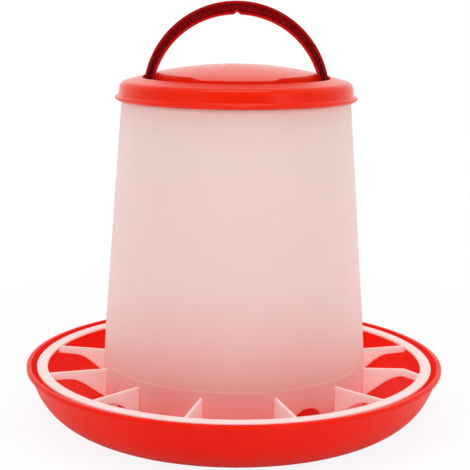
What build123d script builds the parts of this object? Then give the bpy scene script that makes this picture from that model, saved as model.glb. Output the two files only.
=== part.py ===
from build123d import *
import math
import os

# Hanging or standing poultry feeder, millimetres, +Z up.
# Origin: centre of the feed pan's underside, on the surface it stands on.
# -Y is the front, where the arched outlet shows between two grid fins.
# Four mouldings: feed pan, hopper with its grid, lid, carrying handle.

# ---------------------------------------------------------------- feed pan
PAN_R = 150.0            # outer radius of the rolled rim
PAN_H = 42.0             # rim height
PAN_WALL = 2.2
PAN_FLAT_R = 102.9       # radius where the flat base starts to curve up
PAN_CORNER_R = 44.0      # radius of the curve from base to side, outside
PAN_SIDE = (0.3828, 0.9238)   # direction of the straight side, r and z
LIP_UNDER_Z = 38.9       # underside of the rolled rim
LIP_IN_R = 146.7         # inner radius of the rim's flat top
CONE_BASE_R = 66.0       # foot of the feed-spreading cone
CONE_TOP_R = 9.0
CONE_TOP_Z = 50.0
HOOK_COUNT = 4
HOOK_AZ = 77.0           # first bayonet hook, degrees from the front
HOOK_W = 14.0

# ------------------------------------------------------- hopper and its grid
HOP_WALL = 1.6
HOP_FOOT_R = 94.5        # outer radius where the fins join
HOP_FOOT_Z = PAN_WALL    # stands on the pan's floor
HOP_STEP = ((94.5, 44.6), (94.22, 46.2))   # fine moulding step round the foot
HOP_BEND = ((94.18, 48.0), (93.6, 59.0), (92.5, 76.0))
HOP_TOP_R = 79.74        # outer radius at the mouth
HOP_TOP_Z = 241.2
BEAD_R = 80.85           # snap bead round the mouth
FLANGE_IN_R = 86.0       # inward foot flange that the hooks hold
FLANGE_T = 2.0
OUTLET_AZ = 32.0         # first arched outlet, degrees from the front
OUTLET_COUNT = 4
OUTLET_R = 14.0
OUTLET_TOP_Z = 30.4
RING_IN_R = 135.1
RING_OUT_R = 142.6
RING_TOP_Z = 41.3
RING_T = 2.0
FIN_COUNT = 12
FIN_AZ0 = -13.0          # one fin, degrees from the front
FIN_T = 1.7
FIN_TOP_Z = 41.0
KINKED_FIN = 3           # this fin is dog-legged near the ring

# -------------------------------------------------------------------- lid
DOME_RHO = 268.0         # spherical radius of the lid's top
DOME_TOP_Z = 255.35
LID_WALL = 1.8
LID_SKIRT_IN_R = 81.0
LID_BOTTOM_Z = 230.4
LID_LIP_R = 85.3
SEAT_Z = HOP_TOP_Z       # the lid sits on the hopper's mouth
WELL_WALL = 1.8

# ------------------------------------------------------------------ handle
HANDLE_OUT_R = 65.34
HANDLE_OUT_CZ = 233.67
HANDLE_IN_R = 59.45
HANDLE_IN_CZ = 230.05
HANDLE_T = 7.0           # width along Y
HANDLE_WEB = 1.6
HANDLE_FLANGE = 1.8
LEG_OUT_X = 63.9         # outer face of the legs inside the lid
FOLD_DEG = 62.0          # the crown then lies on the lid
PIVOT_Z = 225.0
EYE_R = 6.0
PIN_R = 3.0
PIN_HOLE_R = 3.05
PIN_END_X = 69.7
BOSS_X = 70.4
RIB_T = 1.1
RIB_LOW = 1.1            # how far the ribs stay below the flanges

os.makedirs("parts", exist_ok=True)


def at_az(shape, az):
    # azimuth counted from the front (-Y) towards +X
    return Rot(0, 0, az) * shape


def dome_z(r, rho=DOME_RHO, top=DOME_TOP_Z):
    return top - (rho - math.sqrt(rho * rho - r * r))


def closed_face(points):
    # smooth closed outline in plan through the given points
    return make_face(Spline([Vector(x, y) for x, y in points], periodic=True).edge())


def plan_ring(radii, off):
    # radii: {azimuth from front: radius}; symmetric front/back and left/right.
    # Smooth monotone interpolation between the given azimuths.
    xs = sorted(radii)
    ys = [radii[k] for k in xs]
    n = len(xs)
    d = [(ys[i + 1] - ys[i]) / (xs[i + 1] - xs[i]) for i in range(n - 1)]
    m = [0.0] * n
    for i in range(1, n - 1):
        if d[i - 1] * d[i] > 0:
            m[i] = 2 * d[i - 1] * d[i] / (d[i - 1] + d[i])

    def rad(a):
        a = abs((a + 180.0) % 360.0 - 180.0)
        a = 180.0 - a if a > 90.0 else a
        for i in range(n - 1):
            if xs[i] <= a <= xs[i + 1]:
                h = xs[i + 1] - xs[i]
                t = (a - xs[i]) / h
                return ((2 * t ** 3 - 3 * t ** 2 + 1) * ys[i] + (t ** 3 - 2 * t ** 2 + t) * h * m[i]
                        + (-2 * t ** 3 + 3 * t ** 2) * ys[i + 1] + (t ** 3 - t ** 2) * h * m[i + 1])
        return ys[-1]

    pts = []
    steps = 120
    for i in range(steps):
        a = i * 360.0 / steps
        r = rad(a) + off
        pts.append((r * math.sin(math.radians(a)), -r * math.cos(math.radians(a))))
    return closed_face(pts)


# ================================================================ feed pan
def build_feed_pan():
    w = PAN_WALL
    ux, uz = PAN_SIDE
    # outer base-to-side curve is an arc about (PAN_FLAT_R, PAN_CORNER_R)
    cx, cz = PAN_FLAT_R, PAN_CORNER_R
    ox, oz = cx + PAN_CORNER_R * uz, cz - PAN_CORNER_R * ux
    ir = PAN_CORNER_R - w
    ix, iz = cx + ir * uz, cz - ir * ux

    def on_side(x, z, zt):
        return x + ux * (zt - z) / uz, zt

    def arc_mid(rad):
        a = (-math.pi / 2 + math.atan2(-ux, uz)) / 2
        return cx + rad * math.cos(a), cz + rad * math.sin(a)

    o_lip = on_side(ox, oz, LIP_UNDER_Z)
    i_top = on_side(ix, iz, PAN_H - 1.6)
    # cone: outer line from the floor to its rounded tip, wall thickness w
    dx, dz = CONE_TOP_R - CONE_BASE_R, CONE_TOP_Z - w
    ln = math.hypot(dx, dz)
    nx, nz = dz / ln, -dx / ln          # outward normal
    # inner line, offset by w, from z=0 up
    bx, bz = CONE_BASE_R - nx * w, w - nz * w
    t0 = -bz / dz
    in_foot = (bx + dx * t0, 0.0)
    in_top = (CONE_TOP_R - nx * w, CONE_TOP_Z - nz * w)
    tip_z = CONE_TOP_Z + 3.6
    with BuildPart() as p:
        with BuildSketch(Plane.XZ) as s:
            with BuildLine():
                Line((0, tip_z - w), (0, tip_z))
                ThreePointArc((0, tip_z), (CONE_TOP_R * 0.55, tip_z - 1.05), (CONE_TOP_R, CONE_TOP_Z))
                Line((CONE_TOP_R, CONE_TOP_Z), (CONE_BASE_R, w))
                Line((CONE_BASE_R, w), (cx, w))
                ThreePointArc((cx, w), arc_mid(ir), (ix, iz))
                Line((ix, iz), i_top)
                Line(i_top, (LIP_IN_R, PAN_H - 0.5))
                ThreePointArc((LIP_IN_R, PAN_H - 0.5), (LIP_IN_R + 0.15, PAN_H - 0.15), (LIP_IN_R + 0.5, PAN_H))
                Line((LIP_IN_R + 0.5, PAN_H), (PAN_R - 1.1, PAN_H))
                ThreePointArc((PAN_R - 1.1, PAN_H), (PAN_R - 0.32, PAN_H - 0.32), (PAN_R, PAN_H - 1.1))
                Line((PAN_R, PAN_H - 1.1), (PAN_R, LIP_UNDER_Z + 0.3))
                Line((PAN_R, LIP_UNDER_Z + 0.3), (PAN_R - 0.3, LIP_UNDER_Z))
                Line((PAN_R - 0.3, LIP_UNDER_Z), o_lip)
                Line(o_lip, (ox, oz))
                ThreePointArc((ox, oz), arc_mid(PAN_CORNER_R), (cx, 0))
                Line((cx, 0), in_foot)
                Line(in_foot, in_top)
                Line(in_top, (0, tip_z - w))
            make_face()
        revolve(axis=Axis.Z)
    pan = p.part
    # bayonet hooks standing on the floor just inside the hopper's foot flange
    foot = HOP_FOOT_Z + FLANGE_T
    with BuildPart() as h:
        with BuildSketch(Plane.XZ):
            with BuildLine():
                Polyline((82.0, w - 0.8), (85.4, w - 0.8), (85.4, foot + 0.4), (88.6, foot + 0.4),
                         (88.6, foot + 1.6), (87.2, foot + 3.0), (82.6, foot + 3.0), (82.0, w - 0.8))
            make_face()
        revolve(axis=Axis.Z)
    block = Pos(0, -85.5, 6) * Box(HOOK_W, 14, 20)
    for k in range(HOOK_COUNT):
        pan = pan + (h.part & at_az(block, HOOK_AZ + 90.0 * k))
    return pan


# ======================================================== hopper with grid
def build_hopper():
    w = HOP_WALL
    z0 = HOP_FOOT_Z
    (b1r, b1z), (b2r, b2z), (b3r, b3z) = HOP_BEND
    top_in = HOP_TOP_R - w
    with BuildPart() as p:
        with BuildSketch(Plane.XZ):
            with BuildLine():
                Polyline((FLANGE_IN_R, z0), (HOP_FOOT_R, z0), HOP_STEP[0], HOP_STEP[1], (b1r, b1z))
                Spline((b1r, b1z), (b2r, b2z), (b3r, b3z), tangents=((-0.03, 1), (-0.0766, 1)))
                r1 = HOP_TOP_R + (HOP_TOP_Z - 236.4) * 0.0768
                Line((b3r, b3z), (r1, 236.4))
                Line((r1, 236.4), (BEAD_R, 237.4))
                Line((BEAD_R, 237.4), (BEAD_R, 239.0))
                Line((BEAD_R, 239.0), (HOP_TOP_R, HOP_TOP_Z))
                Line((HOP_TOP_R, HOP_TOP_Z), (top_in, HOP_TOP_Z))
                Line((top_in, HOP_TOP_Z), (b3r - w, b3z))
                Spline((b3r - w, b3z), (b2r - w, b2z), (b1r - w, b1z), tangents=((0.0766, -1), (0.03, -1)))
                Polyline((b1r - w, b1z), (HOP_FOOT_R - w, z0 + FLANGE_T), (FLANGE_IN_R, z0 + FLANGE_T),
                         (FLANGE_IN_R, z0))
            make_face()
        revolve(axis=Axis.Z)
    hop = p.part

    # arched outlets through the foot wall and its flange
    oz = OUTLET_TOP_Z - OUTLET_R
    arch = Pos(0, -90, 0) * (
        (Pos(0, 0, oz) * Rot(90, 0, 0) * Cylinder(OUTLET_R, 24))
        + Pos(0, 0, oz / 2) * Box(2 * OUTLET_R, 24, oz)
    )
    for k in range(OUTLET_COUNT):
        hop = hop - at_az(arch, OUTLET_AZ + 360.0 / OUTLET_COUNT * k)

    # grid ring
    zt, zb = RING_TOP_Z, RING_TOP_Z - RING_T
    e = 0.45
    with BuildPart() as g:
        with BuildSketch(Plane.XZ):
            with BuildLine():
                Polyline((RING_IN_R, zb), (RING_OUT_R - e, zb), (RING_OUT_R, zb + e), (RING_OUT_R, zt - e),
                         (RING_OUT_R - e, zt), (RING_IN_R + e, zt), (RING_IN_R, zt - e), (RING_IN_R, zb))
            make_face()
        revolve(axis=Axis.Z)
    ring = g.part

    # side outline of a fin, turned into a ring so that it cuts every fin alike
    r_in = HOP_FOOT_R - 0.9
    r_out = RING_IN_R + 0.9
    with BuildPart() as f:
        with BuildSketch(Plane.XZ):
            with BuildLine():
                Line((r_in, 19.0), (r_in, FIN_TOP_Z))
                Line((r_in, FIN_TOP_Z), (r_out, FIN_TOP_Z))
                Line((r_out, FIN_TOP_Z), (r_out, 36.0))
                Line((r_out, 36.0), (122.0, 35.6))
                Spline((122.0, 35.6), (113.0, 32.9), (104.6, 27.0), (r_in, 19.0),
                       tangents=((-1, -0.03), (-1, -0.72)))
            make_face()
        revolve(axis=Axis.Z)
    side = f.part
    plates = None
    for k in range(FIN_COUNT):
        if k == KINKED_FIN:
            # straight for two thirds of its length, then it turns to the front
            path = ((90.5, -20.6), (121.6, -21.9), (131.2, -36.4))
            t = FIN_T / 2
            segs = []
            for (xa, ya), (xb, yb) in zip(path, path[1:]):
                lx, ly = xb - xa, yb - ya
                n = math.hypot(lx, ly)
                segs.append((lx / n, ly / n))
            (ax, ay), (bx, by) = segs
            mx, my = -(ay + by), ax + bx
            m = math.hypot(mx, my)
            mx, my = mx / m, my / m
            c = mx * -ay + my * ax
            mt = t / c
            (x0, y0), (x1, y1), (x2, y2) = path
            pts = [(x0 - ay * t, y0 + ax * t), (x1 + mx * mt, y1 + my * mt), (x2 - by * t, y2 + bx * t),
                   (x2 + by * t, y2 - bx * t), (x1 - mx * mt, y1 - my * mt), (x0 + ay * t, y0 - ax * t)]
            plate = extrude(make_face(Polyline(*pts, close=True).edges()), 60)
        else:
            plate = at_az(Pos(0, -115, 30) * Box(FIN_T, 60, 60), FIN_AZ0 + 30.0 * k)
        plates = plate if plates is None else plates + plate
    fins = side & plates
    hop = hop + ring + fins
    return hop


# ===================================================================== lid
# plan outlines of the handle's recess, azimuth from the front: radius
RECESS_IN = {0.0: 64.3, 21.0: 64.3, 31.0: 58.8, 40.0: 58.2, 50.0: 57.5, 60.0: 56.9, 72.0: 56.1, 90.0: 55.8}
RECESS_OUT = {0.0: 70.7, 22.0: 70.2, 31.0: 69.2, 44.0: 68.9, 58.0: 68.9, 66.0: 68.6, 73.0: 67.6, 80.7: 65.8,
              85.0: 64.8, 90.0: 64.5}
FINGER_Z = 242.6         # floor of the finger groove at front and back


def above_floor(drop):
    # everything above the recess's floor: flat under the pivot, then rising along the folded
    # handle's underside, and level again where the finger groove lies
    th = math.radians(FOLD_DEG)
    slope = math.cos(th) / math.sin(th)
    half = HANDLE_T / 2

    def fz(y):
        return PIVOT_Z - half / math.sin(th) - 0.75 + slope * y - drop

    low = PIVOT_Z - EYE_R - 0.8 - drop
    y0 = 6.8 + (WELL_WALL if drop else 0.0)
    y1 = (FINGER_Z - drop - fz(0.0)) / slope
    far = 95.0
    zf = FINGER_Z - drop
    pts = [(-far, 300), (-far, zf), (-y1, zf), (-y0, fz(y0)), (-y0, low), (y0, low), (y0, fz(y0)), (y1, zf),
           (far, zf), (far, 300)]
    face = make_face(Polyline(*[(0, y, z) for y, z in pts], close=True).edges())
    return Pos(-100, 0, 0) * extrude(face, 200, dir=(1, 0, 0))


def build_lid():
    rho, top = DOME_RHO, DOME_TOP_Z
    r1 = 77.5

    def arc(rr, tt, r):
        return dome_z(r, rr, tt)

    with BuildPart() as a:
        with BuildSketch(Plane.XZ):
            with BuildLine():
                ThreePointArc((0, top), (40, arc(rho, top, 40)), (r1, arc(rho, top, r1)))
                ThreePointArc((r1, arc(rho, top, r1)), (80.75, 242.15), (82.05, 238.6))
                Line((82.05, 238.6), (82.5, 235.4))
                ThreePointArc((82.5, 235.4), (83.1, 234.0), (84.3, 233.35))
                ThreePointArc((84.3, 233.35), (LID_LIP_R, 232.35), (84.3, 231.2))
                Polyline((84.3, 231.2), (83.4, LID_BOTTOM_Z), (LID_SKIRT_IN_R, LID_BOTTOM_Z),
                         (LID_SKIRT_IN_R, 233.0), (80.5, 233.7), (80.5, 234.8), (LID_SKIRT_IN_R, 235.8),
                         (LID_SKIRT_IN_R, SEAT_Z - 0.9), (LID_SKIRT_IN_R - 0.9, SEAT_Z), (77.0, SEAT_Z),
                         (75.6, arc(rho - LID_WALL, top - LID_WALL, 75.6)))
                ThreePointArc((75.6, arc(rho - LID_WALL, top - LID_WALL, 75.6)),
                              (40, arc(rho - LID_WALL, top - LID_WALL, 40)), (0, top - LID_WALL))
                Line((0, top - LID_WALL), (0, top))
            make_face()
        revolve(axis=Axis.Z)
    shell = a.part

    # solid under the dome, used to trim the recess walls
    with BuildPart() as u:
        with BuildSketch(Plane.XZ):
            with BuildLine():
                ThreePointArc((0, top), (40, arc(rho, top, 40)), (76.5, arc(rho, top, 76.5)))
                Polyline((76.5, arc(rho, top, 76.5)), (76.5, 205), (0, 205), (0, top))
            make_face()
        revolve(axis=Axis.Z)
    under = u.part

    void_plan = plan_ring(RECESS_OUT, 0) - plan_ring(RECESS_IN, 0)
    wall_plan = plan_ring(RECESS_OUT, WELL_WALL) - plan_ring(RECESS_IN, -WELL_WALL)
    void = (Pos(0, 0, 205) * extrude(void_plan, 60)) & above_floor(0)
    walls = (Pos(0, 0, 205) * extrude(wall_plan, 60)) & above_floor(WELL_WALL) & under

    lid = shell + walls
    for sx in (1, -1):
        boss = Pos(sx * (BOSS_X + 64.0) / 2, 0, PIVOT_Z + 0.5) * Box(BOSS_X - 64.0, 17.2, 17.2)
        boss = boss & (Pos(0, 0, 205) * extrude(plan_ring(RECESS_OUT, 9.0), 60))
        lid = lid + boss
    lid = lid - void
    hole = Pos(0, 0, PIVOT_Z) * Rot(0, 90, 0) * Cylinder(PIN_HOLE_R, 2 * (BOSS_X + 2))
    keep = Pos(0, 0, PIVOT_Z) * Box(2 * 62.0, 40, 40)
    lid = lid - (hole - keep)

    # rounded brink of the raised middle, small break on the outer brink
    def brink(e):
        c = e.center()
        b = e.bounding_box()
        return b.min.Z > 243.0 and b.max.Z < 252.0 and b.size.X > 60

    for outer_side, radii in ((True, (0.6, 0.4, 0.3)), (False, (0.8, 0.5, 0.3))):
        for rr in radii:
            picked = [e for e in lid.edges() if brink(e)
                      and ((62.5 < e.bounding_box().max.X < 75) if outer_side else e.bounding_box().max.X < 61)]
            try:
                t = fillet(picked, rr)
            except Exception as err:
                print("brink radius refused", outer_side, rr, type(err).__name__)
                continue
            if t.is_valid:
                lid = t
                print("brink radius", outer_side, rr, len(picked))
                break
    return lid


# ================================================================== handle
def build_handle():
    t = HANDLE_T
    oc, ic = HANDLE_OUT_CZ, HANDLE_IN_CZ

    def disc(r, cz):
        return Pos(0, 0, cz) * Rot(90, 0, 0) * Cylinder(r, 4 * t)

    def slab(z_low, y0, y1):
        return Pos(0, (y0 + y1) / 2, (z_low + 320) / 2) * Box(200, y1 - y0, 320 - z_low)

    def notch(half, low, peak):
        face = make_face(Polyline((-half, 0, low), (half, 0, low), (0, 0, peak), close=True).edges())
        return Pos(0, 2 * t, 0) * extrude(face, 4 * t, dir=(0, -1, 0))

    arch = disc(HANDLE_OUT_R, oc) - disc(HANDLE_IN_R, ic) - notch(3.2, 288.9, 291.3)
    body = arch & slab(PIVOT_Z, -t / 2, t / 2)
    body = body & (Pos(0, 0, 260) * Box(2 * LEG_OUT_X, 40, 90))
    # rounded legs' ends about the pivot
    x_in = math.sqrt(HANDLE_IN_R ** 2 - (PIVOT_Z - ic) ** 2) - 0.1
    x_out = LEG_OUT_X
    for sx in (1, -1):
        eye = Pos(sx * (x_in + x_out) / 2, 0, PIVOT_Z) * Rot(0, 90, 0) * Cylinder(EYE_R, x_out - x_in)
        pin = Pos(sx * (x_in + 1 + PIN_END_X) / 2, 0, PIVOT_Z) * Rot(0, 90, 0) * Cylinder(PIN_R, PIN_END_X - x_in - 1)
        body = body + eye + pin

    # open channels on both faces, leaving a central web and two flanges
    f = HANDLE_FLANGE
    core = disc(HANDLE_OUT_R - f, oc) - disc(HANDLE_IN_R + f, ic) - notch(3.2 + 3.0, 287.6, 293.5)
    for s in (1, -1):
        y0, y1 = (HANDLE_WEB / 2, t) if s > 0 else (-t, -HANDLE_WEB / 2)
        body = body - (core & slab(238.0, y0, y1) & (Pos(0, 0, 260) * Box(2 * (LEG_OUT_X - f), 40, 90)))
    # zigzag ribs in the channels
    n = 24
    ribs = None
    zone = core & slab(237.0, -t / 2 + RIB_LOW, t / 2 - RIB_LOW)
    a0, a1 = 4.0, 176.0
    for i in range(n):
        aa = math.radians(a0 + (a1 - a0) * i / n)
        ab = math.radians(a0 + (a1 - a0) * (i + 1) / n)
        ra, rb = (HANDLE_IN_R - 0.5, HANDLE_OUT_R + 1.0) if i % 2 == 0 else (HANDLE_OUT_R + 1.0, HANDLE_IN_R - 0.5)
        ca = ic if i % 2 == 0 else oc
        cb = oc if i % 2 == 0 else ic
        xa, za = ra * math.cos(aa), ca + ra * math.sin(aa)
        xb, zb = rb * math.cos(ab), cb + rb * math.sin(ab)
        ln = math.hypot(xb - xa, zb - za)
        ang = math.degrees(math.atan2(zb - za, xb - xa))
        rib = Pos((xa + xb) / 2, 0, (za + zb) / 2) * Rot(0, -ang, 0) * Box(ln, t, RIB_T)
        ribs = rib if ribs is None else ribs + rib
    body = body + (ribs & zone)
    return body


pieces = {
    "feed_pan": build_feed_pan(),
    "hopper_with_grid": build_hopper(),
    "lid": build_lid(),
    "handle": build_handle(),
}
for name, shape in pieces.items():
    solids = shape.solids()
    print(name, "solids", len(solids), "valid", shape.is_valid, "volume cm3", round(shape.volume / 1000, 2),
          "size", [round(v, 2) for v in shape.bounding_box().size])
    export_step(shape if len(solids) != 1 else solids[0], "parts/" + name + ".step")
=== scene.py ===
import math

import bmesh
import bpy
from mathutils import Matrix, Vector

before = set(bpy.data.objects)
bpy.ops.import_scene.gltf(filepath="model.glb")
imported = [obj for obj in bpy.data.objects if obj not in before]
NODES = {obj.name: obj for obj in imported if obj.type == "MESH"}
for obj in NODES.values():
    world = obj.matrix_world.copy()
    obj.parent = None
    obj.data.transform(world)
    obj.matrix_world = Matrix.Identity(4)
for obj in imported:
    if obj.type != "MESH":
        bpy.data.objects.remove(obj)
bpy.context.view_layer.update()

WORLD_LIGHT = 1.05
WORLD_FRONT = 0.12


# ------------------------------------------------------------------ materials
def srgb(r, g, b):
    def lin(v):
        v /= 255.0
        return v / 12.92 if v <= 0.04045 else ((v + 0.055) / 1.055) ** 2.4
    return (lin(r), lin(g), lin(b), 1.0)


class Mat:
    def __init__(self, name):
        self.m = bpy.data.materials.new(name)
        self.m.use_nodes = True
        self.t = self.m.node_tree
        self.t.nodes.clear()
        self.out = self.t.nodes.new("ShaderNodeOutputMaterial")
        self.p = self.t.nodes.new("ShaderNodeBsdfPrincipled")
        self.t.links.new(self.p.outputs[0], self.out.inputs[0])

    def node(self, kind, **kw):
        n = self.t.nodes.new(kind)
        for k, v in kw.items():
            setattr(n, k, v)
        return n

    def link(self, a, b):
        self.t.links.new(a, b)

    def coords(self):
        return self.node("ShaderNodeTexCoord").outputs["Object"]

    def noise(self, co, scale, detail=2.0, rough=0.5):
        n = self.node("ShaderNodeTexNoise")
        n.inputs["Scale"].default_value = scale
        n.inputs["Detail"].default_value = detail
        n.inputs["Roughness"].default_value = rough
        self.link(co, n.inputs["Vector"])
        return n.outputs["Fac"]

    def remap(self, v, a, b, c, d):
        n = self.node("ShaderNodeMapRange")
        n.clamp = True
        for i, x in zip(("From Min", "From Max", "To Min", "To Max"), (a, b, c, d)):
            n.inputs[i].default_value = x
        self.link(v, n.inputs["Value"])
        return n.outputs["Result"]

    def math(self, op, a, b=None):
        n = self.node("ShaderNodeMath", operation=op)
        for i, x in enumerate((a, b)):
            if x is None:
                continue
            if isinstance(x, (int, float)):
                n.inputs[i].default_value = x
            else:
                self.link(x, n.inputs[i])
        return n.outputs[0]

    def mix(self, fac, a, b, blend="MIX"):
        n = self.node("ShaderNodeMix", data_type="RGBA", blend_type=blend)
        for s, x in ((n.inputs["Factor"], fac), (n.inputs["A"], a), (n.inputs["B"], b)):
            pass
        fa, ca, cb = n.inputs[0], n.inputs[6], n.inputs[7]
        for s, x in ((fa, fac), (ca, a), (cb, b)):
            if isinstance(x, (int, float, tuple)):
                s.default_value = x
            else:
                self.link(x, s)
        return n.outputs[2]

    def ramp(self, v, stops):
        n = self.node("ShaderNodeValToRGB")
        r = n.color_ramp
        r.interpolation = "LINEAR"
        while len(r.elements) > 1:
            r.elements.remove(r.elements[-1])
        r.elements[0].position, r.elements[0].color = stops[0]
        for pos, col in stops[1:]:
            e = r.elements.new(pos)
            e.color = col
        self.link(v, n.inputs["Fac"])
        return n.outputs["Color"]

    def bump(self, h, strength, dist):
        n = self.node("ShaderNodeBump")
        n.inputs["Strength"].default_value = strength
        n.inputs["Distance"].default_value = dist
        self.link(h, n.inputs["Height"])
        self.link(n.outputs[0], self.p.inputs["Normal"])
        return n

    def set(self, **kw):
        for k, v in kw.items():
            self.p.inputs[k.replace("_", " ")].default_value = v


def moulded_red(name, base, light, dark, rough=0.32, grain=600.0, shine=0.12, painted_shade=None, relief=0.09):
    m = Mat(name)
    co = m.coords()
    big = m.noise(co, 9.0, 2.0)
    fine = m.noise(co, 160.0, 3.0)
    tone = m.mix(m.remap(big, 0.35, 0.65, 0.0, 1.0), dark, light)
    tone = m.mix(0.55, base, tone)
    # Painted shade: when the two extra colours are given, the recessed web (small |y|) is painted in the first dark
    # colour and the outer rim of the flange in the second, standing for shade in the channel and on the outer flange.
    if painted_shade:
        sep = m.node("ShaderNodeSeparateXYZ")
        m.link(co, sep.inputs[0])
        out = m.remap(m.math("ABSOLUTE", sep.outputs["Y"]), 0.0025, 0.0033, 0.0, 1.0)
        hub = m.node("ShaderNodeVectorMath", operation="SUBTRACT")
        hub.inputs[1].default_value = (0.0, 0.0, 0.2318)
        m.link(co, hub.inputs[0])
        arc = m.node("ShaderNodeVectorMath", operation="LENGTH")
        m.link(hub.outputs[0], arc.inputs[0])
        flange_with_painted_shade = m.mix(m.remap(arc.outputs["Value"], 0.0613, 0.0625, 0.0, 1.0), tone, painted_shade[1])
        tone = m.mix(out, painted_shade[0], flange_with_painted_shade)
    speck = m.remap(fine, 0.15, 0.85, 0.0, 0.35)
    m.link(m.mix(speck, tone, dark), m.p.inputs["Base Color"])
    m.link(m.remap(fine, 0.15, 0.85, rough - 0.07, rough + 0.09), m.p.inputs["Roughness"])
    wave = m.noise(co, 70.0, 1.0)
    h = m.math("ADD", m.math("MULTIPLY", m.noise(co, grain, 2.0), 0.35), wave)
    m.bump(h, relief, 0.00022)
    m.set(IOR=1.49, Coat_Weight=0.0)
    m.p.inputs["Specular IOR Level"].default_value = shine
    return m


PAN = moulded_red("pan_red_plastic", srgb(237, 28, 3), srgb(242, 34, 5), srgb(230, 21, 2))
LID = moulded_red("lid_red_plastic", srgb(231, 34, 5), srgb(236, 42, 8), srgb(224, 26, 3), rough=0.19, shine=0.24, relief=0.05)
# The handle's two extra dark colours are painted shade for its web and the outer side of its flange.
HANDLE = moulded_red("handle_red_plastic", srgb(196, 14, 18), srgb(208, 18, 24), srgb(176, 10, 12), rough=0.25,
                     painted_shade=(srgb(132, 3, 4), srgb(160, 7, 10)))

HOPPER = Mat("hopper_white_plastic")
co = HOPPER.coords()
sep = HOPPER.node("ShaderNodeSeparateXYZ")
HOPPER.link(co, sep.inputs[0])
# Painted light: the ramp below paints the hopper pinker at the foot and under the lid and paler in between, standing
# for red light from the pan and lid showing through the translucent wall.
z = HOPPER.remap(sep.outputs["Z"], 0.0, 0.25, 0.0, 1.0)
cloud = HOPPER.noise(co, 22.0, 3.0)
z = HOPPER.math("ADD", z, HOPPER.remap(cloud, 0.3, 0.7, -0.012, 0.012))
# Painted light: towards its sides (by |x|) the lower hopper is shifted to paler tones, standing for the whiter look at
# grazing angles.
painted_side_lightening = HOPPER.remap(HOPPER.math("ABSOLUTE", sep.outputs["X"]), 0.045, 0.095, 0.0, 0.09)
low = HOPPER.remap(z, 0.3, 0.6, 1.0, 0.0)
z = HOPPER.math("ADD", z, HOPPER.math("MULTIPLY", painted_side_lightening, low))
tone = HOPPER.ramp(z, [
    (0.00, srgb(241, 158, 153)),
    (0.12, srgb(238, 168, 163)),
    (0.20, srgb(236, 182, 178)),
    (0.32, srgb(237, 195, 193)),
    (0.45, srgb(240, 206, 204)),
    (0.80, srgb(240, 209, 207)),
    (0.87, srgb(240, 206, 204)),
    (0.915, srgb(243, 196, 192)),
    (0.955, srgb(240, 174, 167)),
])
flat_ = HOPPER.node("ShaderNodeVectorMath", operation="MULTIPLY")
flat_.inputs[1].default_value = (1, 1, 0)
HOPPER.link(co, flat_.inputs[0])
rad = HOPPER.node("ShaderNodeVectorMath", operation="LENGTH")
HOPPER.link(flat_.outputs[0], rad.inputs[0])
outward = HOPPER.remap(rad.outputs["Value"], 0.0952, 0.136, 0.0, 1.0)
# Painted glow: the grid is painted pinker next to the hopper wall and paler outwards, standing for red light showing
# through the plastic.
painted_grid_glow = HOPPER.ramp(outward, [(0.0, srgb(244, 208, 205)), (0.35, srgb(246, 220, 218)), (0.9, srgb(246, 222, 221))])
on_grid = HOPPER.remap(rad.outputs["Value"], 0.0947, 0.0956, 0.0, 1.0)
tone = HOPPER.mix(on_grid, tone, painted_grid_glow)
HOPPER.link(tone, HOPPER.p.inputs["Base Color"])
fine = HOPPER.noise(co, 240.0, 3.0)
HOPPER.link(HOPPER.remap(fine, 0.3, 0.7, 0.42, 0.52), HOPPER.p.inputs["Roughness"])
HOPPER.bump(HOPPER.noise(co, 1200.0, 2.0), 0.08, 0.0001)
HOPPER.set(IOR=1.45, Transmission_Weight=0.0, Subsurface_Weight=0.85, Subsurface_Scale=0.006)
HOPPER.p.inputs["Subsurface Radius"].default_value = (1.0, 0.75, 0.72)
HOPPER.p.inputs["Specular IOR Level"].default_value = 0.3


def dress(node, mat):
    o = NODES[node]
    if not o.material_slots:
        o.data.materials.append(None)
    for s in o.material_slots:
        s.link = "OBJECT"
        s.material = mat.m


dress("feed_pan", PAN)
dress("lid", LID)
dress("handle", HANDLE)
dress("hopper_with_grid", HOPPER)
NODES["hopper_with_grid"].visible_shadow = False

# ------------------------------------------------------------------ surroundings
bm = bmesh.new()
bmesh.ops.create_grid(bm, x_segments=2, y_segments=2, size=4.0)
me = bpy.data.meshes.new("floor")
bm.to_mesh(me)
bm.free()
floor = bpy.data.objects.new("floor", me)
bpy.context.scene.collection.objects.link(floor)
floor.location = (0, 0, -0.0002)
fm = Mat("floor_paper")
fm.p.inputs["Base Color"].default_value = srgb(246, 246, 246)
fm.p.inputs["Roughness"].default_value = 0.9
fm.p.inputs["Specular IOR Level"].default_value = 0.0
glow = fm.node("ShaderNodeEmission")
glow.inputs[1].default_value = 1.0
lp_ = fm.node("ShaderNodeLightPath")
spread = fm.node("ShaderNodeVectorMath", operation="LENGTH")
fm.link(fm.coords(), spread.inputs[0])
share = fm.math("MULTIPLY", lp_.outputs["Is Camera Ray"], fm.remap(spread.outputs["Value"], 0.15, 0.6, 0.88, 1.0))
fmx = fm.node("ShaderNodeMixShader")
fm.link(share, fmx.inputs[0])
fm.link(fm.p.outputs[0], fmx.inputs[1])
fm.link(glow.outputs[0], fmx.inputs[2])
fm.link(fmx.outputs[0], fm.out.inputs[0])
floor.data.materials.append(fm.m)

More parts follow.
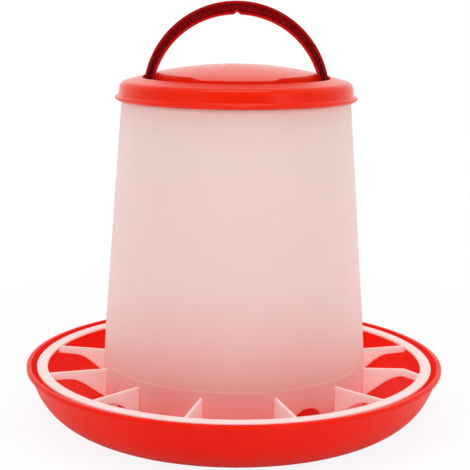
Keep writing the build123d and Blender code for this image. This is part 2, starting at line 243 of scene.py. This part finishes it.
world = bpy.data.worlds.new("studio")
bpy.context.scene.world = world
world.use_nodes = True
wt = world.node_tree
bg = wt.nodes["Background"]
bg.inputs[0].default_value = (1.0, 0.975, 0.91, 1)
gen = wt.nodes.new("ShaderNodeTexCoord")
sx = wt.nodes.new("ShaderNodeSeparateXYZ")
wt.links.new(gen.outputs["Generated"], sx.inputs[0])
rng = wt.nodes.new("ShaderNodeMapRange")
rng.interpolation_type = "SMOOTHSTEP"
for i_, v_ in zip(("From Min", "From Max", "To Min", "To Max"), (-0.9, 0.95, WORLD_FRONT, WORLD_LIGHT)):
    rng.inputs[i_].default_value = v_
wt.links.new(sx.outputs["Y"], rng.inputs["Value"])
wt.links.new(rng.outputs[0], bg.inputs[1])
seen = wt.nodes.new("ShaderNodeBackground")
seen.inputs[0].default_value = (1, 1, 1, 1)
seen.inputs[1].default_value = 1.0
lp = wt.nodes.new("ShaderNodeLightPath")
mx = wt.nodes.new("ShaderNodeMixShader")
wt.links.new(lp.outputs["Is Camera Ray"], mx.inputs[0])
wt.links.new(bg.outputs[0], mx.inputs[1])
wt.links.new(seen.outputs[0], mx.inputs[2])
wt.links.new(mx.outputs[0], wt.nodes["World Output"].inputs[0])


def area(name, loc, target, size, power, color=(1, 1, 1)):
    d = bpy.data.lights.new(name, "AREA")
    d.shape = "RECTANGLE"
    d.size, d.size_y = size
    d.energy = power
    d.color = color
    o = bpy.data.objects.new(name, d)
    bpy.context.scene.collection.objects.link(o)
    o.location = loc
    v = Vector(target) - Vector(loc)
    o.rotation_euler = v.to_track_quat("-Z", "Y").to_euler()
    o.visible_glossy = False
    return o


area("key_left", (-1.1, -1.2, 0.9), (0, 0, 0.15), (0.8, 1.0), 12.0)
area("key_right", (1.2, -1.1, 0.8), (0, 0, 0.15), (0.8, 1.0), 11.0)
area("top", (0.0, -0.28, 1.4), (0, 0, 0.1), (0.9, 0.16), 4.0).visible_glossy = True

# ------------------------------------------------------------------ camera
PITCH = 0.1877
ROLL = 0.009
cam = bpy.data.cameras.new("camera")
cam.sensor_width = 36.0
cam.sensor_fit = "HORIZONTAL"
cam.lens = 1250.663 / 470.0 * 36.0
cam.clip_start = 0.05
cam.clip_end = 20.0
co_ = bpy.data.objects.new("camera", cam)
bpy.context.scene.collection.objects.link(co_)
fw = Vector((0, math.cos(PITCH), -math.sin(PITCH)))
rt = Vector((1, 0, 0))
up = Vector((0, math.sin(PITCH), math.cos(PITCH)))
r2 = math.cos(ROLL) * rt + math.sin(ROLL) * up
u2 = -math.sin(ROLL) * rt + math.cos(ROLL) * up
rot = Matrix((r2, u2, -fw)).transposed().to_4x4()
co_.matrix_world = Matrix.Translation((-0.0000376, -0.8836533, 0.3011402)) @ rot
bpy.context.scene.camera = co_

sc = bpy.context.scene
sc.view_settings.view_transform = "Standard"
sc.view_settings.look = "None"
sc.view_settings.exposure = 0.0
sc.view_settings.gamma = 1.0
